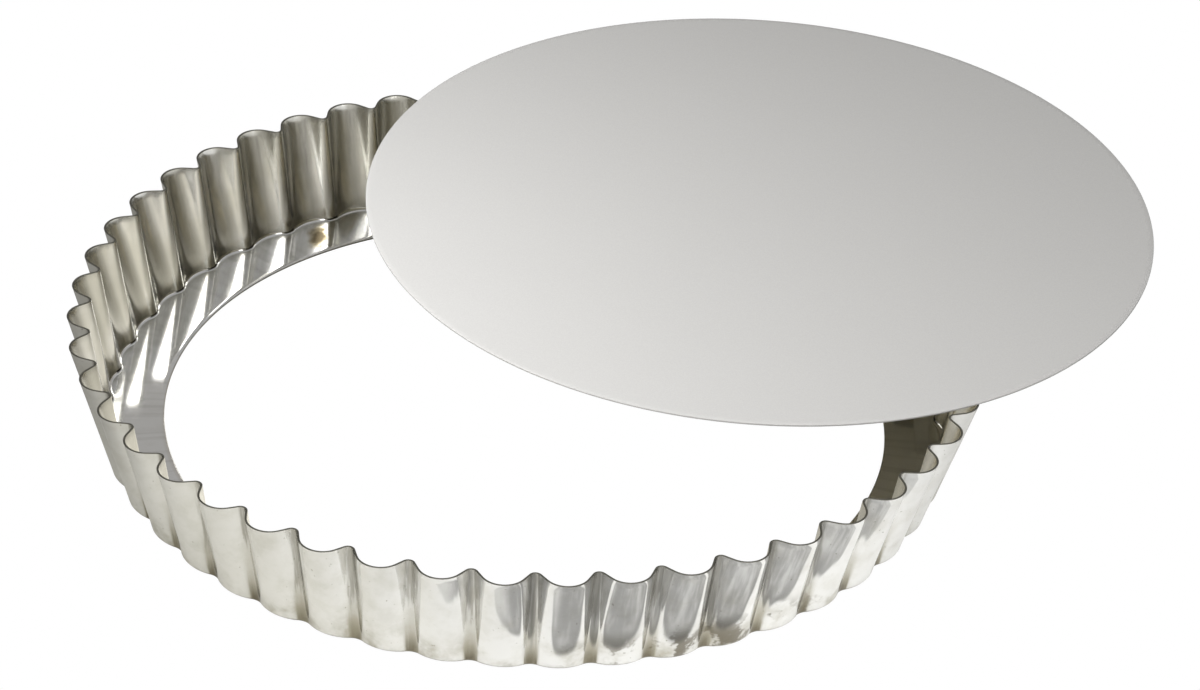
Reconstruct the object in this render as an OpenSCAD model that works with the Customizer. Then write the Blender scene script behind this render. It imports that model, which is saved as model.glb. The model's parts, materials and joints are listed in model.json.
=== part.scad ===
// Fluted tart pan with a loose bottom.
// It comes apart into two pieces: a one-piece sheet-metal ring, whose wall turns in
// at its foot to make a narrow ledge, and a flat round bottom that rests on that ledge.
// The bottom is laid out off centre across the rim, as it is when it has been lifted out.
// Origin: centre of the ring, on the underside of its ledge. +Z is up. Millimetres.

/* [Ring] */
// Outside diameter of the ring at its rim, measured over the flutes
rim_d = 280; // [280:1:292]
// Height of the ring, from the table to the rim
ring_h = 36.5; // [30:0.5:42]
// Thickness of the ring's sheet
sheet_t = 0.6; // [0.4:0.1:0.8]
// How much closer to the centre the ridges between the flutes are at the foot than at the rim
ridge_lean_in = 5.7; // [4:0.1:6]
// Inside radius of the bend between the wall and the ledge, at the foot of a ridge
ridge_bend_r = 0.8; // [0.6:0.1:1.1]
// The same radius at the foot of a flute's lobe
lobe_bend_r = 1.5; // [1.2:0.1:4]
// Diameter of the opening inside the ledge
opening_d = 222.6; // [200:0.2:226]

/* [Flutes] */
// Number of flutes around the wall
flute_count = 48; // [46:1:52]
// Depth of a flute at the rim
rim_flute_depth = 6.3; // [5:0.1:6.6]
// Depth of a flute at the foot of the wall
foot_flute_depth = 2.1; // [2:0.1:3.2]
// Angle between a flute's straight flank and the run of the wall, at the rim
rim_flank_angle = 55; // [50:1:60]
// The same angle at the foot
foot_flank_angle = 26; // [18:1:27]
// Radius of the ridge between two flutes at the rim, on the inside of the wall
rim_crest_r = 2.1; // [1.8:0.1:2.4]
// The same radius at the foot, where the ridges are rounder
foot_crest_r = 4.5; // [2:0.5:6]

/* [Loose bottom] */
// Diameter of the loose bottom
disc_d = 252.4; // [240:0.2:252.6]
// Thickness of the loose bottom
disc_t = 0.6; // [0.5:0.1:1.2]
// How far the loose bottom's centre lies from the ring's centre
disc_shift = 100.4; // [60:0.1:120]
// Direction of that shift, counter-clockwise from +X
disc_direction = 46; // [0:1:359]

/* [Hidden] */

// Round surfaces
$fn = 180;

// Facets along half of a flute: its broad lobe, then its narrow ridge
lobe_steps = 2;
ridge_steps = 1;

// Facets around the bend
bend_steps = 3;

// Inside surface of the wall, at the crest of a lobe and at the crest of a ridge
rim_lobe_r = rim_d / 2 - sheet_t;
rim_ridge_r = rim_lobe_r - rim_flute_depth;
foot_ridge_r = rim_ridge_r - ridge_lean_in;
foot_lobe_r = foot_ridge_r + foot_flute_depth;

// The ring is formed with a smaller hole than it needs, and the opening is then cut round
blank_hole_r = opening_d / 2 - 4;

// The loose bottom has to fit the ledge: wider than the opening, and inside the bend
assert(disc_d > opening_d + 10, "the loose bottom would fall through the opening");
assert(disc_d / 2 < foot_ridge_r - ridge_bend_r, "the loose bottom would not reach the ledge");

// A flute is two arcs joined by a straight flank: the broad lobe, which bulges out, and the
// ridge, whose crest of radius crest_r points in. The lobe's arc follows from the other sizes.
function pitch_at(lobe_r, depth) = 2 * PI * (lobe_r - depth / 2) / flute_count;
function lobe_arc_r(pitch, depth, flank, crest_r) =
    (tan(flank) * pitch / 2 - depth) * cos(flank) / (1 - cos(flank)) - crest_r;

// One point of a half flute as [along the wall, inward from the lobe's crest, angle of the normal]
function lobe_point(arc_r, a) = [arc_r * sin(a), arc_r * (1 - cos(a)), a];
function ridge_point(pitch, depth, crest_r, a) =
    [pitch / 2 - crest_r * sin(a), depth - crest_r * (1 - cos(a)), a];

// Half a flute, from the lobe's crest up to, but without, the ridge's crest
function half_flute(pitch, depth, flank, crest_r) = concat(
    [for (i = [0 : lobe_steps])
        lobe_point(lobe_arc_r(pitch, depth, flank, crest_r), flank * i / lobe_steps)],
    [for (i = [0 : ridge_steps - 1])
        ridge_point(pitch, depth, crest_r, flank * (1 - i / ridge_steps))]
);

// A whole flute, from ridge crest to just before the next ridge crest
function whole_flute(pitch, depth, flank, crest_r) =
    let (half = half_flute(pitch, depth, flank, crest_r), last = len(half) - 1)
    concat(
        [ridge_point(pitch, depth, crest_r, 0) - [pitch, 0, 0]],
        [for (i = [last : -1 : 1]) [-half[i][0], half[i][1], -half[i][2]]],
        half
    );

// The inside outline of the fluted wall, as a list of [point, outward normal] in plan
function fluted_outline(lobe_r, depth, flank, crest_r) =
    let (
        pitch = pitch_at(lobe_r, depth),
        flute = whole_flute(pitch, depth, flank, crest_r),
        step = 360 / flute_count
    )
    [for (k = [0 : flute_count - 1], p = flute)
        let (turn = step * (k + p[0] / pitch), facing = turn + p[2])
        [(lobe_r - p[1]) * [cos(turn), sin(turn)], [cos(facing), sin(facing)]]];

rim_outline = fluted_outline(rim_lobe_r, rim_flute_depth, rim_flank_angle, rim_crest_r);
foot_outline = fluted_outline(foot_lobe_r, foot_flute_depth, foot_flank_angle, foot_crest_r);
columns = len(rim_outline);

// Lean of the wall from upright, at one column of the outline
function lean(i) =
    atan2(norm(rim_outline[i][0]) - norm(foot_outline[i][0]), ring_h - sheet_t);

// Inside radius of the bend at one column, between the ridge's and the lobe's
function bend_r(i) =
    ridge_bend_r + (lobe_bend_r - ridge_bend_r)
        * (norm(foot_outline[i][0]) - foot_ridge_r) / foot_flute_depth;

// A point at one column of the wall, off metal away from its inside surface. The bend is an
// arc that starts flat on the ledge (part 0) and ends along the wall (part 1).
function at_height(plan, z) = [plan[0], plan[1], z];
function rim_point(i, off) = at_height(rim_outline[i][0] + off * rim_outline[i][1], ring_h);
function bend_point(i, off, part) =
    let (
        a = -90 + part * (90 - lean(i)),
        centre = -bend_r(i) * tan((90 - lean(i)) / 2),
        out = centre + (bend_r(i) + off) * cos(a)
    )
    at_height(
        foot_outline[i][0] + out * foot_outline[i][1],
        sheet_t + bend_r(i) + (bend_r(i) + off) * sin(a)
    );
function blank_hole_point(i, z) =
    let (turn = 360 * i / columns)
    [blank_hole_r * cos(turn), blank_hole_r * sin(turn), z];

// The formed sheet is a closed band of rows: out along the underside, up the outside,
// over the rim, down the inside and back along the ledge
sheet_rows = concat(
    [[for (i = [0 : columns - 1]) blank_hole_point(i, 0)]],
    [for (s = [0 : bend_steps])
        [for (i = [0 : columns - 1]) bend_point(i, sheet_t, s / bend_steps)]],
    [[for (i = [0 : columns - 1]) rim_point(i, sheet_t)]],
    [[for (i = [0 : columns - 1]) rim_point(i, 0)]],
    [for (s = [bend_steps : -1 : 0])
        [for (i = [0 : columns - 1]) bend_point(i, 0, s / bend_steps)]],
    [[for (i = [0 : columns - 1]) blank_hole_point(i, sheet_t)]]
);
rows = len(sheet_rows);

function row_col(r, c) = (r % rows) * columns + (c % columns);

module formed_sheet() {
    polyhedron(
        points = [for (row = sheet_rows, p = row) p],
        faces = [for (r = [0 : rows - 1], c = [0 : columns - 1], half = [0, 1])
            half == 0
                ? [row_col(r, c), row_col(r + 1, c + 1), row_col(r, c + 1)]
                : [row_col(r, c), row_col(r + 1, c), row_col(r + 1, c + 1)]],
        convexity = 10
    );
}

module fluted_ring() {
    color([0.74, 0.73, 0.69])
        difference() {
            formed_sheet();
            translate([0, 0, -1])
                cylinder(d = opening_d, h = sheet_t + 2);
        }
}

module loose_bottom() {
    color([0.82, 0.81, 0.79])
        rotate([0, 0, disc_direction])
            translate([disc_shift, 0, ring_h])
                cylinder(d = disc_d, h = disc_t);
}

fluted_ring();
loose_bottom();
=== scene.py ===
import json
import math

import bpy
import numpy as np
from mathutils import Matrix, Vector


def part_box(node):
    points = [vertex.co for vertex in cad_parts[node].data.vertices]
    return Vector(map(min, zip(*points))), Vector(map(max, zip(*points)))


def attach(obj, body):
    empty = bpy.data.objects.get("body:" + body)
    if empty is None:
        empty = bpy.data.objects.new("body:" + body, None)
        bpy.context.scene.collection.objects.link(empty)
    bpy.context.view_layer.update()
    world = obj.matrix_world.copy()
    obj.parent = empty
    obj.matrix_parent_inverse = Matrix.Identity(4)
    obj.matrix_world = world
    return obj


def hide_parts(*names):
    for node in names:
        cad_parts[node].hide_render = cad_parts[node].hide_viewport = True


# A fluted tart pan: a one-piece ring of bright tinplate, and its loose bottom, a satin disc that
# lies off centre across the rim. Lengths are in metres, +Z is up, and the camera is on the -Y side.

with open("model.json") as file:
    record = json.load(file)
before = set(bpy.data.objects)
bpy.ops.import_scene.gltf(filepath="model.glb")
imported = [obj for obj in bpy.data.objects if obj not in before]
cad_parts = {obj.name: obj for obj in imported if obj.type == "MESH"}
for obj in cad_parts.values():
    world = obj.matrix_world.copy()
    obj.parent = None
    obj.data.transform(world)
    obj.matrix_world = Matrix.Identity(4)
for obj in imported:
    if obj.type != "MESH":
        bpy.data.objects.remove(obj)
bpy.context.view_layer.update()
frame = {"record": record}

# ---------------------------------------------------------------- sizes
MM = 0.001
MOUNTS = {m["name"]: m for m in frame["record"]["mounts"]}
OPENING = MOUNTS["push_up_opening"]["dims"]
RING_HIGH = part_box("fluted_ring")[1]
DISC_LOW, DISC_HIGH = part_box("loose_bottom")

# The ring's overall sizes come from the frame
RIM_R = RING_HIGH.x                                          # over the flutes, at the rim
RING_H = RING_HIGH.z
OPENING_R = OPENING["r_mm"] * MM
SHEET_T = OPENING["length_mm"] * MM

# The flutes, as in the CAD
FLUTES = 48
RIM_DEPTH, FOOT_DEPTH = 6.3 * MM, 2.1 * MM                   # how deep a flute is
RIM_FLANK, FOOT_FLANK = math.radians(55), math.radians(26)   # how steep its flanks are
RIM_CREST_R, FOOT_CREST_R = 2.1 * MM, 4.5 * MM               # the ridge between two flutes
RIDGE_LEAN_IN = 5.7 * MM                                     # how far in a ridge leans to its foot
RIDGE_BEND_R, LOBE_BEND_R = 0.8 * MM, 1.5 * MM               # the bend from the wall to the ledge

# The loose bottom
DISC_C = (DISC_LOW + DISC_HIGH) / 2
DISC_R = (DISC_HIGH.x - DISC_LOW.x) / 2
DISC_T = DISC_HIGH.z - DISC_LOW.z

# How far the softening of a cut edge reaches
SOFT = 0.12 * MM


# ---------------------------------------------------------------- mesh helpers
def mesh_object(name, points, faces):
    """A new smooth-shaded mesh object from points and faces, given as lists or arrays."""
    mesh = bpy.data.meshes.new(name)
    mesh.from_pydata(np.asarray(points).tolist(), [], faces)
    mesh.update()
    mesh.shade_smooth()
    obj = bpy.data.objects.new(name, mesh)
    bpy.context.scene.collection.objects.link(obj)
    return obj


def band_faces(rows, cols, close_rows):
    """Quads of a band of points, which closes on itself along its columns and, if asked, its rows."""
    bands = rows if close_rows else rows - 1
    r, c = np.meshgrid(np.arange(bands), np.arange(cols), indexing="ij")
    up, on = (r + 1) % rows, (c + 1) % cols
    quads = np.stack([r * cols + c, r * cols + on, up * cols + on, up * cols + c], -1)
    return quads.reshape(-1, 4).tolist()


def store(obj, name, values):
    """A number for every vertex, which the materials read by its name."""
    attribute = obj.data.attributes.new(name, "FLOAT", "POINT")
    attribute.data.foreach_set("value", values.astype(np.float32))


# ---------------------------------------------------------------- the fluted ring
SLOT_OUTSIDE, SLOT_INSIDE, SLOT_LEDGE, SLOT_CUT = range(4)   # the ring's material slots
LOBE_STEPS, FLANK_STEPS, RIDGE_STEPS = 7, 3, 4               # points along half a flute
WALL_STEPS, BEND_STEPS = 16, 9                               # rows up the wall and round the bend
WALL_FROM, WALL_TO = 0.04, 0.994                             # the wall's end rows, as parts of it
LEDGE_PARTS = (0.02, 0.1, 0.3, 0.6, 0.85)                    # rows across the ledge, as parts of it

# The wall is slightly uneven, as the sum of some sine waves
WAVE_COUNT = 14
WAVE_SLOPE = 0.0045                 # how steep each wave is, around the ring
WAVES_AROUND = (24, 110)            # it repeats at least 24 and fewer than 110 times around the ring
WAVES_UP = 0.6                      # and at most 0.6 times up the wall, leaning either way
WAVE_FADES = (4, 6)                 # it fades over a 4th of the wall at the bend, a 6th at the rim

# The waves, and the number that each flute has for its own, are random but the same every time
WAVE_SEED, OWN_SEED = 11, 5


def half_flute(lobe_r, depth, flank, crest_r):
    """Half a flute's section as (along the wall, inward, angle of the normal), crest of the lobe
    first. A flute is two arcs, a broad lobe and a narrow ridge, joined by a straight flank."""
    pitch = 2 * math.pi * (lobe_r - depth / 2) / FLUTES
    both_arcs = (math.tan(flank) * pitch / 2 - depth) * math.cos(flank) / (1 - math.cos(flank))
    lobe_arc = both_arcs - crest_r
    a = np.linspace(0, flank, LOBE_STEPS + 1)
    lobe = np.stack([lobe_arc * np.sin(a), lobe_arc * (1 - np.cos(a)), a], 1)
    a = np.linspace(flank, 0, RIDGE_STEPS + 1)
    ridge = np.stack([pitch / 2 - crest_r * np.sin(a), depth - crest_r * (1 - np.cos(a)), a], 1)
    t = np.linspace(0, 1, FLANK_STEPS + 1)[1:-1, None]
    straight = lobe[-1] * (1 - t) + ridge[0] * t
    return np.concatenate([lobe, straight, ridge]), pitch


def outline(lobe_r, depth, flank, crest_r):
    """The wall's inside outline: points and outward normals in plan, and how near each point is to
    a ridge's crest, from 0 to 1."""
    half, pitch = half_flute(lobe_r, depth, flank, crest_r)
    other = half[-2:0:-1] * [-1, 1, -1]
    other[:, 0] += pitch
    whole = np.concatenate([half, other])
    k = np.arange(FLUTES)[:, None]
    turn = (2 * math.pi / FLUTES) * (k + whole[None, :, 0] / pitch)
    facing = (turn + whole[None, :, 2]).ravel()
    turn = turn.ravel()
    radius = np.tile(lobe_r - whole[:, 1], FLUTES)
    points = radius[:, None] * np.stack([np.cos(turn), np.sin(turn)], 1)
    normals = np.stack([np.cos(facing), np.sin(facing)], 1)
    return points, normals, np.tile(whole[:, 1] / depth, FLUTES)


def hand_waves(turn):
    """A function of height that gives the wall's unevenness at every column, in metres outward."""
    draw = np.random.default_rng(WAVE_SEED)
    around = draw.integers(*WAVES_AROUND, WAVE_COUNT)
    upward = draw.uniform(-WAVES_UP, WAVES_UP, WAVE_COUNT) * 2 * math.pi / RING_H
    phase = draw.uniform(0, 2 * math.pi, WAVE_COUNT)
    size = WAVE_SLOPE * RIM_R / around

    def at_height(z):
        angle = turn[:, None] * around + z[:, None] * upward + phase
        return (size * np.sin(angle)).sum(1)
    return at_height


def build_ring():
    """The one-piece sheet as a closed band of rows: out along the underside of the ledge, up the
    outside, over the rim, down the inside, back along the ledge and over the opening's edge."""
    rim_lobe = RIM_R - SHEET_T
    foot_lobe = rim_lobe - RIM_DEPTH - RIDGE_LEAN_IN + FOOT_DEPTH
    rim, rim_n, ridge = outline(rim_lobe, RIM_DEPTH, RIM_FLANK, RIM_CREST_R)
    foot, foot_n, foot_ridge = outline(foot_lobe, FOOT_DEPTH, FOOT_FLANK, FOOT_CREST_R)
    cols = len(rim)
    climb = RING_H - SHEET_T
    lean = np.arctan2(np.linalg.norm(rim, axis=1) - np.linalg.norm(foot, axis=1), climb)
    bend_r = LOBE_BEND_R + (RIDGE_BEND_R - LOBE_BEND_R) * foot_ridge
    centre = -bend_r * np.tan((math.pi / 2 - lean) / 2)
    start = bend_r * (1 - np.sin(lean)) / climb            # where the wall leaves the bend
    waves = hand_waves(np.arctan2(rim[:, 1], rim[:, 0]))

    def wall(off, part):
        """Off metal away from the inside surface, part of the way from the bend to the rim."""
        t = start + (1 - start) * part
        n = foot_n * (1 - t)[:, None] + rim_n * t[:, None]
        n /= np.linalg.norm(n, axis=1)[:, None]
        fade = min(1, WAVE_FADES[0] * part, WAVE_FADES[1] * (1 - part))
        push = off + waves(t * RING_H) * fade
        xy = foot * (1 - t)[:, None] + rim * t[:, None] + push[:, None] * n
        return np.column_stack([xy, SHEET_T + climb * t])

    def bend(off, part):
        """Round the bend: part 0 is flat on the ledge, 1 is along the wall."""
        a = -math.pi / 2 + part * (math.pi / 2 - lean)
        out = centre + (bend_r + off) * np.cos(a)
        z = SHEET_T + bend_r + (bend_r + off) * np.sin(a)
        return np.column_stack([foot + out[:, None] * foot_n, z])

    def ledge(off, z, part):
        """Along the ledge: part 0 is the opening's edge, 1 is the start of the bend."""
        outer = bend(off, 0)[:, :2]
        angle = np.arctan2(outer[:, 1], outer[:, 0])
        inner = OPENING_R * np.stack([np.cos(angle), np.sin(angle)], 1)
        return np.column_stack([inner * (1 - part) + outer * part, np.full(cols, z)])

    def rim_edge(off, down):
        """Along the rim, some way down from its top."""
        row = wall(off, 1)
        row[:, 2] -= down
        return row

    wall_parts = np.linspace(WALL_FROM, WALL_TO, WALL_STEPS)
    bend_parts = np.linspace(0, 1, BEND_STEPS)
    near, mid = SHEET_T - SOFT, 0.35 * SOFT
    edge = [(SHEET_T, SOFT), (SHEET_T - mid, mid), (near, 0), (SOFT, 0), (mid, mid), (0, SOFT)]
    parts = [
        (SLOT_OUTSIDE, [ledge(SHEET_T, 0, p) for p in LEDGE_PARTS]),
        (SLOT_OUTSIDE, [bend(SHEET_T, p) for p in bend_parts]),
        (SLOT_OUTSIDE, [wall(SHEET_T, p) for p in wall_parts]),
        (SLOT_CUT, [rim_edge(off, down) for off, down in edge]),
        (SLOT_INSIDE, [wall(0, p) for p in wall_parts[::-1]]),
        (SLOT_LEDGE, [bend(0, p) for p in bend_parts[::-1]]),
        (SLOT_LEDGE, [ledge(0, SHEET_T, p) for p in LEDGE_PARTS[::-1]]),
        (SLOT_CUT, [ledge(0, z, 0) for z in (near, SOFT)]),
    ]
    rows = [row for slot, group in parts for row in group]
    slots = [slot for slot, group in parts for row in group]
    sheet = mesh_object("fluted_ring_sheet", np.concatenate(rows), band_faces(len(rows), cols, True))
    sheet.data.polygons.foreach_set("material_index", np.repeat(slots, cols))

    # what the materials need to know about each point: how near it is to a ridge, how high it is
    # as a part of the ring's height, and the number of its flute
    own = np.random.default_rng(OWN_SEED).uniform(0, 1, FLUTES)
    store(sheet, "ridge", np.tile(ridge, len(rows)))
    store(sheet, "height", np.concatenate([row[:, 2] for row in rows]) / RING_H)
    store(sheet, "own", np.tile(own.repeat(cols // FLUTES), len(rows)))
    return sheet


# ---------------------------------------------------------------- the loose bottom
SLOT_TOP, SLOT_EDGE, SLOT_UNDER = range(3)                   # the loose bottom's material slots
DISC_COLS = 256                                              # points around
DISC_CIRCLES = (0.05, 0.2, 0.4, 0.6, 0.8, 0.93, 0.985)       # across a face, as parts of its radius


def build_disc():
    """A flat disc with softened sheared edges: circles of points out from the middle of the
    underside, over the edge, and in again to the middle of the top."""
    half, mid = DISC_T / 2, 0.3 * SOFT
    flat = [(DISC_R * part, half) for part in DISC_CIRCLES]
    edge = [(DISC_R - SOFT, half), (DISC_R - mid, half - mid), (DISC_R, half - SOFT)]
    top = flat + edge
    section = [(r, -z) for r, z in top] + top[::-1]
    a = np.arange(DISC_COLS) * 2 * math.pi / DISC_COLS
    circles = [
        np.column_stack([r * np.cos(a), r * np.sin(a), np.full(DISC_COLS, z)])
        for r, z in section
    ]
    bands = len(section) - 1
    faces = band_faces(len(section), DISC_COLS, False)
    faces.append(list(range(DISC_COLS))[::-1])
    faces.append([bands * DISC_COLS + i for i in range(DISC_COLS)])
    sheet = mesh_object("loose_bottom_disc", np.concatenate(circles) + np.array(DISC_C), faces)

    # the slots of the bands in the same order, and then of the two faces in the middle
    across = len(flat)
    kinds = [SLOT_UNDER] * across + [SLOT_EDGE] * (bands - 2 * across) + [SLOT_TOP] * across
    slots = np.concatenate([np.repeat(kinds, DISC_COLS), [SLOT_UNDER, SLOT_TOP]])
    sheet.data.polygons.foreach_set("material_index", slots)
    return sheet


ring = build_ring()
disc = build_disc()
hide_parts("fluted_ring")
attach(ring, "ring")
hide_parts("loose_bottom")
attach(disc, "bottom")


# ---------------------------------------------------------------- node helpers
def new_material(name):
    """An empty node material: (material, node tree, its output node)."""
    mat = bpy.data.materials.new(name)
    mat.use_nodes = True
    tree = mat.node_tree
    tree.nodes.clear()
    return mat, tree, tree.nodes.new("ShaderNodeOutputMaterial")


def put(tree, socket, value):
    """Feeds a node's input from another node's output, or sets it to a number or colour."""
    if isinstance(value, bpy.types.NodeSocket):
        tree.links.new(value, socket)
    elif isinstance(value, tuple) and len(value) == 3 and socket.type == "RGBA":
        socket.default_value = (*value, 1)
    else:
        socket.default_value = value


def math_node(tree, operation, a, b=0.0, c=0.0):
    node = tree.nodes.new("ShaderNodeMath")
    node.operation = operation
    for socket, value in zip(node.inputs, (a, b, c)):
        put(tree, socket, value)
    return node.outputs[0]


def product(tree, first, *others):
    for other in others:
        first = math_node(tree, "MULTIPLY", first, other)
    return first


def plus(tree, value, times, other):
    """The value, plus so many times the other. With noise as the other, outlines become ragged."""
    return math_node(tree, "MULTIPLY_ADD", other, times, value)


def smooth_between(tree, value, low, high, out_low=0.0, out_high=1.0):
    """A soft step: out_low where value is below low, out_high where it is above high."""
    node = tree.nodes.new("ShaderNodeMapRange")
    node.interpolation_type = "SMOOTHSTEP"
    names = ("Value", "From Min", "From Max", "To Min", "To Max")
    for name, fed in zip(names, (value, low, high, out_low, out_high)):
        put(tree, node.inputs[name], fed)
    return node.outputs[0]


def mix_colour(tree, factor, a, b):
    node = tree.nodes.new("ShaderNodeMix")
    node.data_type = "RGBA"
    put(tree, node.inputs["Factor"], factor)
    put(tree, node.inputs[6], a)
    put(tree, node.inputs[7], b)
    return node.outputs[2]


def mix_value(tree, factor, a, b):
    node = tree.nodes.new("ShaderNodeMix")
    put(tree, node.inputs["Factor"], factor)
    put(tree, node.inputs[2], a)
    put(tree, node.inputs[3], b)
    return node.outputs[0]


def mix_shader(tree, factor, a, b):
    node = tree.nodes.new("ShaderNodeMixShader")
    for socket, value in zip(node.inputs, (factor, a, b)):
        put(tree, socket, value)
    return node.outputs[0]


def tinted(tree, colour, amount):
    """A colour times a number."""
    node = tree.nodes.new("ShaderNodeVectorMath")
    node.operation = "SCALE"
    put(tree, node.inputs[0], colour)
    put(tree, node.inputs["Scale"], amount)
    return node.outputs[0]


def vector_math(tree, operation, a, b=(0, 0, 0)):
    """Both outputs of a vector operation, Vector and Value."""
    node = tree.nodes.new("ShaderNodeVectorMath")
    node.operation = operation
    put(tree, node.inputs[0], a)
    put(tree, node.inputs[1], b)
    return node.outputs


def scaled(tree, vector, scale):
    """A vector with each of its parts multiplied by a number of its own."""
    return vector_math(tree, "MULTIPLY", vector, scale)["Vector"]


def distance(tree, a, b):
    return vector_math(tree, "DISTANCE", a, b)["Value"]


def split(tree, vector):
    """The parts X, Y and Z of a vector."""
    node = tree.nodes.new("ShaderNodeSeparateXYZ")
    put(tree, node.inputs[0], vector)
    return node.outputs["X"], node.outputs["Y"], node.outputs["Z"]


def noise(tree, vector, scale, detail=2.0, rough=0.5, stretch=(1, 1, 1)):
    """Noise from 0 to 1; scale is in cycles per metre, and stretch multiplies it along each axis."""
    node = tree.nodes.new("ShaderNodeTexNoise")
    put(tree, node.inputs["Vector"], scaled(tree, vector, stretch))
    put(tree, node.inputs["Scale"], scale)
    put(tree, node.inputs["Detail"], detail)
    put(tree, node.inputs["Roughness"], rough)
    return node.outputs["Fac"]


def patches(tree, vector, scale, low, high, most, detail=4, rough=0.6):
    """Soft patches of noise: nothing where it is below low, and most where it is above high."""
    return smooth_between(tree, noise(tree, vector, scale, detail, rough), low, high, 0.0, most)


def stored(tree, name):
    """A number that the mesh holds for every vertex."""
    node = tree.nodes.new("ShaderNodeAttribute")
    node.attribute_name = name
    return node.outputs["Fac"]


def object_coordinates(tree):
    return tree.nodes.new("ShaderNodeTexCoord").outputs["Object"]


def bump(tree, height, depth):
    """The normal of a relief, whose height is a number that is multiplied by a depth in metres."""
    node = tree.nodes.new("ShaderNodeBump")
    put(tree, node.inputs["Height"], height)
    put(tree, node.inputs["Distance"], depth)
    put(tree, node.inputs["Strength"], 1.0)
    return node.outputs[0]


def principled(tree, out, **inputs):
    node = tree.nodes.new("ShaderNodeBsdfPrincipled")
    for name, value in inputs.items():
        put(tree, node.inputs[name.replace("_", " ")], value)
    tree.links.new(node.outputs[0], out.inputs["Surface"])


# ---------------------------------------------------------------- materials
# Tin colours. Some also serve as painted shade: the dull, brownish and old tin tones in the ring's
# grooves, along its foot and low on its inside, and the near black in the pockets of the bend.
TIN = (0.81, 0.807, 0.794)
CLOUDED_TIN = (0.69, 0.68, 0.64)
DULL_TIN_AND_GROOVE_SHADE = (0.38, 0.37, 0.335)
OLD_TIN_AND_SHADE = (0.27, 0.258, 0.20)
BROWN_SHADE_AND_SMUDGE = (0.16, 0.14, 0.10)
BROWN_SHADE_AND_PATCH = (0.36, 0.335, 0.255)
BLOOM = (0.50, 0.485, 0.40)
SHADE_IN_POCKETS = (0.06, 0.056, 0.042)
STAIN, STAIN_HALO = (0.07, 0.048, 0.016), (0.34, 0.27, 0.13)

# Relief of the tinplate, as noise in cycles per metre
FINE_STREAKS, BROAD_STREAKS, DENTS = 1100, 320, 55
BROAD_SHARE = 1.5                   # how much deeper the broad streaks are than the fine ones
WORN_ROUGHNESS = 0.12               # what a mark adds to the roughness

# How fast the streaks change outward and upward, next to how fast they do around the ring
DRAWN_CHANGE = (0.05, 0.05, 0.08)

# The heat stain on the ledge. It is longer away from the camera, and its outline is ragged.
STAIN_AT = Vector((-74.2 * MM, 95.0 * MM, SHEET_T))
STAIN_STRETCH = Vector((1.0, 0.45, 1.0))
STAIN_RAGGED = 4 * MM
CORE_EDGE, HALO_EDGE = (3.2 * MM, 4.8 * MM), (3.8 * MM, 6.6 * MM)


def drawn_coordinates(tree, at):
    """Coordinates that hardly change up the wall or across the ledge, so that noise becomes the
    streaks left by drawing the sheet over the tool."""
    outward = vector_math(tree, "NORMALIZE", scaled(tree, at, (1.0, 1.0, 0.0)))["Vector"]
    around = scaled(tree, outward, (RIM_R, RIM_R, RIM_R))
    return vector_math(tree, "ADD", around, scaled(tree, at, DRAWN_CHANGE))["Vector"]


def tinplate(name, roughness, streak_depth, dent_depth, marks):
    """Bright tinplate with fine streaks and shallow dents. marks(tree, at, drawn) lists what lies
    over the bare tin, each as how much of it there is and its colour."""
    mat, tree, out = new_material(name)
    at = object_coordinates(tree)
    drawn = drawn_coordinates(tree, at)
    colour, worn = TIN, 0.0
    for amount, tone in marks(tree, at, drawn):
        colour = mix_colour(tree, amount, colour, tone)
        worn = math_node(tree, "MAXIMUM", worn, amount)
    fine = noise(tree, drawn, FINE_STREAKS, 3, 0.6)
    rough = plus(tree, smooth_between(tree, fine, 0.3, 0.75, *roughness), WORN_ROUGHNESS, worn)
    relief = plus(tree, fine, BROAD_SHARE, noise(tree, drawn, BROAD_STREAKS))
    relief = plus(tree, relief, dent_depth / streak_depth, noise(tree, at, DENTS))
    normal = bump(tree, relief, streak_depth)
    principled(tree, out, Base_Color=colour, Metallic=1.0, Roughness=rough, Normal=normal)
    return mat


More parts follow.
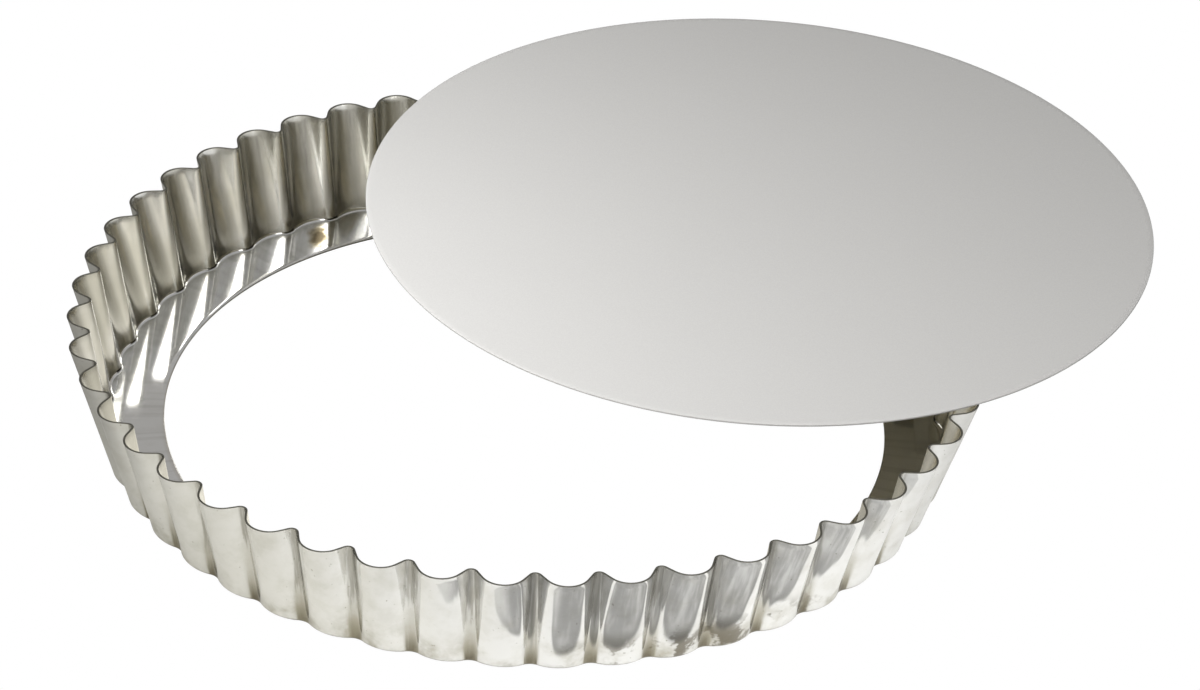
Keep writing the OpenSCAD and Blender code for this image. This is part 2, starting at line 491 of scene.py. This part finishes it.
def outside_marks(tree, at, drawn):
    """Pale clouds; painted shade: dull streaks down the grooves from the rim, brownish shade beside
    them and in them at the foot, and a dark line where the ring stands on the table; brownish
    patches low down, smudges at the front right, and pits."""
    ridge, height, own = stored(tree, "ridge"), stored(tree, "height"), stored(tree, "own")
    x = split(tree, at)[0]
    ragged = noise(tree, drawn, 1300, 3, 0.6)
    clouds = patches(tree, at, 140, 0.42, 0.72, 0.55, rough=0.65)

    # painted shade: a streak comes down its groove from the rim, to a height of its own
    groove = smooth_between(tree, plus(tree, ridge, 0.45, ragged), 0.98, 1.24)
    level = plus(tree, plus(tree, height, 0.6, ragged), 0.5, own)
    streak = product(tree, groove, smooth_between(tree, level, 0.87, 1.08, 0.0, 0.9))

    # painted shade: brownish shade beside each groove, darkest low down, and in the groove at the
    # foot
    near_groove = plus(tree, ridge, 0.4, ragged)
    beside = smooth_between(tree, near_groove, 0.55, 1.25)
    groove_shade = product(tree, beside, smooth_between(tree, height, 0.0, 0.6, 0.95, 0.12))
    in_groove = smooth_between(tree, near_groove, 0.85, 1.2)
    groove_foot_shade = product(tree, in_groove, smooth_between(tree, height, 0.02, 0.26, 0.85, 0.0))

    # brownish patches, more of them low down
    foot = smooth_between(tree, height, 0.02, 0.40, 1.0, 0.22)
    low_patches = product(tree, foot, patches(tree, at, 75, 0.46, 0.66, 0.7))
    smudge = product(
        tree,
        patches(tree, at, 90, 0.50, 0.57, 0.85, rough=0.62),
        smooth_between(tree, height, 0.16, 0.46, 1.0, 0.0),
        smooth_between(tree, x, 0.005, 0.045),
        smooth_between(tree, x, 0.075, 0.10, 1.0, 0.0),
    )
    pits = patches(tree, at, 800, 0.74, 0.79, 0.6, detail=1, rough=0.5)
    # painted shade: a dark line along the foot, where the ring stands on the table
    contact_shade = smooth_between(tree, plus(tree, height, 0.014, ragged), 0.022, 0.044, 0.85, 0.0)
    return [
        (clouds, CLOUDED_TIN),
        (groove_shade, BROWN_SHADE_AND_PATCH),
        (streak, DULL_TIN_AND_GROOVE_SHADE),
        (groove_foot_shade, BROWN_SHADE_AND_SMUDGE),
        (low_patches, BROWN_SHADE_AND_PATCH),
        (smudge, BROWN_SHADE_AND_SMUDGE),
        (pits, OLD_TIN_AND_SHADE),
        (contact_shade, OLD_TIN_AND_SHADE),
    ]


def inside_marks(tree, at, drawn):
    """An olive bloom in clouds and vertical bands, and painted shade, darkest low down by the ledge.
    """
    cloudy = noise(tree, at, 48, 4, 0.65, (1, 1, 0.5))
    bloom = smooth_between(tree, cloudy, 0.40, 0.66, 0.50, 0.0)
    bands = patches(tree, drawn, 200, 0.40, 0.68, 0.34, detail=2, rough=0.5)
    # painted shade, darkest where the wall meets the ledge
    foot = smooth_between(tree, stored(tree, "height"), 0.03, 0.17, 0.55, 0.0)
    return [(bloom, BLOOM), (bands, DULL_TIN_AND_GROOVE_SHADE), (foot, OLD_TIN_AND_SHADE)]


def ledge_marks(tree, at, drawn):
    """Dull streaks across the ledge, painted shade in dark pockets at the feet of the ridges, and one
    heat-stained patch.
    """
    clouds = patches(tree, at, 120, 0.5, 0.75, 0.3)
    streak = patches(tree, drawn, 240, 0.45, 0.75, 0.22, detail=2, rough=0.5)

    # painted shade: dark pockets in the bend, just above the ledge
    flat = SHEET_T / RING_H
    above = smooth_between(tree, stored(tree, "height"), 1.05 * flat, 1.5 * flat)
    pocket_shade = product(tree, above, smooth_between(tree, stored(tree, "ridge"), 0.25, 0.7, 0.0, 0.95))

    stretched = scaled(tree, at, tuple(STAIN_STRETCH))
    away = distance(tree, stretched, tuple(STAIN_AT * STAIN_STRETCH))
    away = plus(tree, away, STAIN_RAGGED, noise(tree, at, 420, 3, 0.6))
    halo = smooth_between(tree, away, *HALO_EDGE, 0.85, 0.0)
    core = smooth_between(tree, away, *CORE_EDGE, 0.9, 0.0)
    return [
        (clouds, CLOUDED_TIN),
        (streak, OLD_TIN_AND_SHADE),
        (pocket_shade, SHADE_IN_POCKETS),
        (halo, STAIN_HALO),
        (core, STAIN),
    ]


def cut_edge(name, dark, light):
    """The sheared edge of a sheet, where the tin coating ends and the steel shows."""
    mat, tree, out = new_material(name)
    colour = mix_colour(tree, noise(tree, object_coordinates(tree), 900, 3), dark, light)
    principled(tree, out, Base_Color=colour, Metallic=0.8, Roughness=0.45)
    return mat


def satin_tinplate(name, dark, light):
    """Tinplate with a fine dull grain, which blurs the little that it reflects."""
    mat, tree, out = new_material(name)
    at = object_coordinates(tree)
    grain = noise(tree, at, 2500, 2, 0.6)
    principled(
        tree,
        out,
        Base_Color=mix_colour(tree, smooth_between(tree, grain, 0.3, 0.7), dark, light),
        Metallic=0.15,
        Roughness=smooth_between(tree, noise(tree, at, 30), 0.3, 0.7, 0.46, 0.52),
        Specular_IOR_Level=0.0,
        Normal=bump(tree, grain, 0.002 * MM),
    )
    return mat


# In the order of the ring's slots, and then of the loose bottom's
for mat in (
    tinplate("tinplate_outside", (0.05, 0.10), 0.005 * MM, 0.030 * MM, outside_marks),
    tinplate("tinplate_inside", (0.13, 0.21), 0.0018 * MM, 0.025 * MM, inside_marks),
    tinplate("tinplate_ledge", (0.05, 0.09), 0.001 * MM, 0.026 * MM, ledge_marks),
    cut_edge("ring_cut_edge", (0.07, 0.068, 0.055), (0.16, 0.155, 0.13)),
):
    ring.data.materials.append(mat)
# The loose bottom is one sheet, but its underside is painted far paler and warmer than its top:
# painted light under it, where the lights hardly reach.
for mat in (
    satin_tinplate("satin_tinplate", (0.33, 0.326, 0.319), (0.35, 0.346, 0.339)),
    satin_tinplate("disc_cut_edge", (0.29, 0.286, 0.28), (0.32, 0.316, 0.31)),
    satin_tinplate("satin_underside_painted_light", (0.74, 0.715, 0.63), (0.78, 0.755, 0.67)),
):
    disc.data.materials.append(mat)


# ---------------------------------------------------------------- the floor
# The camera sees a plain white floor. The tin reflects it with the tones below, painted light and
# shade of a studio that doesn't show itself. A tone is a part of white. A pair of lengths or of
# parts, here and in the room, is where a soft change starts and ends.
FLOOR_HALF = 4.0

# Outside the ring, from left to right: painted light, paler towards the right and dimmer far out to
# either side
MIDDLE_TONE, PALEST_TONE = 0.64, 0.81
LEFT_RISE, RIGHT_RISE = 0.7, 1.2                             # per metre, left and right of the middle
FAR_LEFT, FAR_LEFT_SHARE = (-0.16, -0.11), 0.60
FAR_RIGHT, FAR_RIGHT_SHARE = (0.09, 0.22), 0.62
PALE_LEFT, PALE_RIGHT = (1.0, 0.985, 0.91), (1.0, 1.0, 0.985)
PALE_CHANGE = (-0.10, 0.02)

# A mottled grey patch at the front right. Its far edge runs to the right and away from the camera,
# is ragged, and has a darker outline. Both the patch and the outline fade to the left and right.
PATCH_TURN, PATCH_NEARER = math.radians(21.5), 0.1328        # the edge, from a line through the axis
PATCH_RAGGED = 18 * MM
TO_OUTLINE, TO_PATCH = (0.0, 2 * MM), (2 * MM, 6 * MM)       # going nearer from the edge
PATCH_TONES = (0.4092, 0.6944)
PATCH_LEFT, PATCH_LEFT_TONE = (-0.016, 0.020), 0.82
PATCH_RIGHT, PATCH_RIGHT_TONE = (0.10, 0.16), 0.85
OUTLINE_TONE, OUTLINE_LEFT_TONE = 0.38, 0.80
OUTLINE_RIGHT, OUTLINE_RIGHT_TONE = (0.08, 0.13), 0.70

# Inside the ring, by the distance from the loose bottom's centre: a painted shadow of the loose
# bottom, darkest just beside it. Little light gets under the loose bottom, so the floor is painted
# palest there.
UNDER_DISC, UNDER_TONE, BESIDE_TONE = (0.060, 0.105), 1.45, 0.46
FAR_FROM_DISC, FAR_ADDS = (0.130, 0.200), 0.45
PALE_INSIDE = (1.0, 0.965, 0.86)
INSIDE_ENDS = (RIM_R - 18 * MM, RIM_R - 13 * MM)

# The ledge covers the floor from the opening out to here
LEDGE_COVER_R = RIM_R - RIM_DEPTH - RIDGE_LEAN_IN - 1.5 * MM


def seen_by_camera(tree):
    """1 for a ray straight from the camera, 0 for one that has already been reflected."""
    return tree.nodes.new("ShaderNodeLightPath").outputs["Is Camera Ray"]


def tone_across(tree, x):
    """The painted light outside the ring, without the patch."""
    left = math_node(tree, "MULTIPLY_ADD", x, LEFT_RISE, MIDDLE_TONE)
    right = math_node(tree, "MULTIPLY_ADD", x, RIGHT_RISE, MIDDLE_TONE)
    rising = math_node(tree, "MINIMUM", math_node(tree, "MAXIMUM", left, right), PALEST_TONE)
    far_right = smooth_between(tree, x, *FAR_RIGHT, 1.0, FAR_RIGHT_SHARE)
    far_left = smooth_between(tree, x, *FAR_LEFT, FAR_LEFT_SHARE, 1.0)
    return product(tree, rising, far_right, far_left)


def patch_share(tree, at, x, y):
    """What the patch leaves of the tone: 1 beyond its far edge, less inside it."""
    nearer = math_node(tree, "MULTIPLY_ADD", x, math.sin(PATCH_TURN), -PATCH_NEARER)
    nearer = math_node(tree, "MULTIPLY_ADD", y, -math.cos(PATCH_TURN), nearer)
    ragged = math_node(tree, "SUBTRACT", noise(tree, at, 28), 0.5)
    nearer = plus(tree, nearer, PATCH_RAGGED, ragged)

    begins = smooth_between(tree, x, *PATCH_LEFT)
    mottled = smooth_between(tree, noise(tree, at, 45, 3, 0.6), 0.38, 0.68, *PATCH_TONES)
    inner = mix_value(tree, begins, PATCH_LEFT_TONE, mottled)
    inner = mix_value(tree, smooth_between(tree, x, *PATCH_RIGHT), inner, PATCH_RIGHT_TONE)
    dark = mix_value(tree, begins, OUTLINE_LEFT_TONE, OUTLINE_TONE)
    dark = mix_value(tree, smooth_between(tree, x, *OUTLINE_RIGHT), dark, OUTLINE_RIGHT_TONE)

    patch = mix_value(tree, smooth_between(tree, nearer, *TO_PATCH), dark, inner)
    return mix_value(tree, smooth_between(tree, nearer, *TO_OUTLINE), 1.0, patch)


def floor_tone(tree, at):
    """The floor's colour as the tin reflects it, with its painted light and shade."""
    x, y, _ = split(tree, at)
    outer_tone = product(tree, tone_across(tree, x), patch_share(tree, at, x, y))
    pale = mix_colour(tree, smooth_between(tree, x, *PALE_CHANGE), PALE_LEFT, PALE_RIGHT)
    outer = tinted(tree, pale, outer_tone)

    from_disc = distance(tree, at, (DISC_C.x, DISC_C.y, 0))
    beside = smooth_between(tree, from_disc, *UNDER_DISC, UNDER_TONE, BESIDE_TONE)
    far = smooth_between(tree, from_disc, *FAR_FROM_DISC, 0.0, FAR_ADDS)
    inner = tinted(tree, PALE_INSIDE, math_node(tree, "ADD", beside, far))

    is_outside = smooth_between(tree, distance(tree, at, (0, 0, 0)), *INSIDE_ENDS)
    return mix_colour(tree, is_outside, inner, outer)


def floor_gap(tree, geometry):
    """1 where the floor is left out, so that the underside of the pan shows: seen from below, and
    right under the ledge."""
    middle, reach = (OPENING_R + LEDGE_COVER_R) / 2, (LEDGE_COVER_R - OPENING_R) / 2
    off = math_node(tree, "SUBTRACT", distance(tree, geometry["Position"], (0, 0, 0)), middle)
    covered = math_node(tree, "LESS_THAN", math_node(tree, "ABSOLUTE", off), reach)
    return math_node(tree, "MAXIMUM", geometry["Backfacing"], covered)


def build_floor():
    """A pale floor. It shows as plain white, and the tin reflects it with its painted light and
    shade.
    """
    half = FLOOR_HALF
    corners = [(-half, -half, 0), (half, -half, 0), (half, half, 0), (-half, half, 0)]
    floor = mesh_object("floor", corners, [[0, 1, 2, 3]])
    mat, tree, out = new_material("floor_white_painted_shade")
    geometry = tree.nodes.new("ShaderNodeNewGeometry").outputs
    shaded = tree.nodes.new("ShaderNodeBsdfDiffuse")
    put(tree, shaded.inputs["Color"], floor_tone(tree, geometry["Position"]))
    plain = tree.nodes.new("ShaderNodeEmission")
    put(tree, plain.inputs["Color"], (1.0, 1.0, 1.0))
    nothing = tree.nodes.new("ShaderNodeBsdfTransparent")
    surface = mix_shader(tree, seen_by_camera(tree), shaded.outputs[0], plain.outputs[0])
    surface = mix_shader(tree, floor_gap(tree, geometry), surface, nothing.outputs[0])
    tree.links.new(surface, out.inputs["Surface"])
    floor.data.materials.append(mat)


# ---------------------------------------------------------------- the room
# What the tin reflects of the room, by the direction. A change starts and ends at parts of the way.
ROOM_FRONT, ROOM_RIGHT = (0.60, 0.59, 0.55), (0.90, 0.90, 0.88)
ROOM_BACK, ROOM_HIGH = (0.38, 0.365, 0.345), (0.44, 0.44, 0.44)
TO_RIGHT, TO_BACK, TO_HIGH = (0.15, 0.65), (0.2, 0.7), (0.50, 0.62)


def build_world():
    """Plain white to the camera. The tin reflects a dim room, palest at the right."""
    world = bpy.data.worlds.new("studio")
    bpy.context.scene.world = world
    world.use_nodes = True
    tree = world.node_tree
    x, y, z = split(tree, tree.nodes.new("ShaderNodeTexCoord").outputs["Generated"])
    room = mix_colour(tree, smooth_between(tree, x, *TO_RIGHT), ROOM_FRONT, ROOM_RIGHT)
    room = mix_colour(tree, smooth_between(tree, y, *TO_BACK), room, ROOM_BACK)
    room = mix_colour(tree, smooth_between(tree, z, *TO_HIGH), room, ROOM_HIGH)
    colour = mix_colour(tree, seen_by_camera(tree), room, (1.0, 1.0, 1.0))
    put(tree, tree.nodes["Background"].inputs["Color"], colour)


# ---------------------------------------------------------------- the lights
# Azimuth is counter-clockwise from +X and elevation is above the floor, as seen from what the light
# is aimed at. A size is width and height, and radiance is how bright the light's face is.
SOFTBOX_AZIMUTH, SOFTBOX_ELEVATION, SOFTBOX_AWAY = math.radians(278), math.radians(46), 0.75
SOFTBOX_SIZE, SOFTBOX_RADIANCE = (1.0, 0.40), 5.9
SIDE_AZIMUTH, SIDE_ELEVATION, SIDE_AWAY = math.radians(203), math.radians(38), 0.36
SIDE_SIZE, SIDE_RADIANCE = (0.3, 0.3), 7.0


def area_light(name, target, azimuth, elevation, away, size, radiance):
    """A soft rectangular light, aimed at a point some way away and hidden from the camera."""
    light = bpy.data.lights.new(name, "AREA")
    light.shape = "RECTANGLE"
    light.size, light.size_y = size
    light.energy = radiance * math.pi * light.size * light.size_y
    obj = bpy.data.objects.new(name, light)
    bpy.context.scene.collection.objects.link(obj)
    toward = Vector((
        math.cos(azimuth) * math.cos(elevation),
        math.sin(azimuth) * math.cos(elevation),
        math.sin(elevation),
    ))
    obj.location = target + toward * away
    obj.rotation_mode = "QUATERNION"
    obj.rotation_quaternion = (-toward).to_track_quat("-Z", "Y")
    obj.visible_camera = False
    return obj


def build_lights():
    """One wide softbox above the camera, and a small light for the loose bottom alone, which makes
    it palest at the left."""
    softbox = (SOFTBOX_AZIMUTH, SOFTBOX_ELEVATION, SOFTBOX_AWAY, SOFTBOX_SIZE, SOFTBOX_RADIANCE)
    area_light("softbox", Vector((0, 0, 0)), *softbox)
    side = (SIDE_AZIMUTH, SIDE_ELEVATION, SIDE_AWAY, SIDE_SIZE, SIDE_RADIANCE)
    side_light = area_light("side_light", DISC_C, *side)
    lit = bpy.data.collections.new("lit_by_side_light")
    lit.objects.link(disc)
    side_light.light_linking.receiver_collection = lit


# ---------------------------------------------------------------- the camera
# It looks at a point on the rim's plane, just off the ring's axis
CAM_LENS, SENSOR = 111.36, 36
CAM_ELEVATION = math.radians(32.87)
CAM_AZIMUTH = math.radians(0.39)
CAM_ROLL = math.radians(3.383)
CAM_AIM = Vector((21.9 * MM, -16.1 * MM, RING_H))
CAM_DISTANCE = 1117.5 * MM


def build_camera():
    cam = bpy.data.cameras.new("camera")
    cam.lens, cam.sensor_width = CAM_LENS, SENSOR
    cam.clip_start, cam.clip_end = 0.01, 20
    obj = bpy.data.objects.new("camera", cam)
    bpy.context.scene.collection.objects.link(obj)
    forward = Vector((
        -math.sin(CAM_AZIMUTH) * math.cos(CAM_ELEVATION),
        math.cos(CAM_AZIMUTH) * math.cos(CAM_ELEVATION),
        -math.sin(CAM_ELEVATION),
    ))
    obj.location = CAM_AIM - forward * CAM_DISTANCE
    obj.rotation_mode = "QUATERNION"
    level = forward.to_track_quat("-Z", "Y")
    obj.rotation_quaternion = level @ Matrix.Rotation(CAM_ROLL, 4, "Z").to_quaternion()
    bpy.context.scene.camera = obj


build_floor()
build_world()
build_lights()
build_camera()
bpy.context.scene.view_settings.view_transform = "Standard"
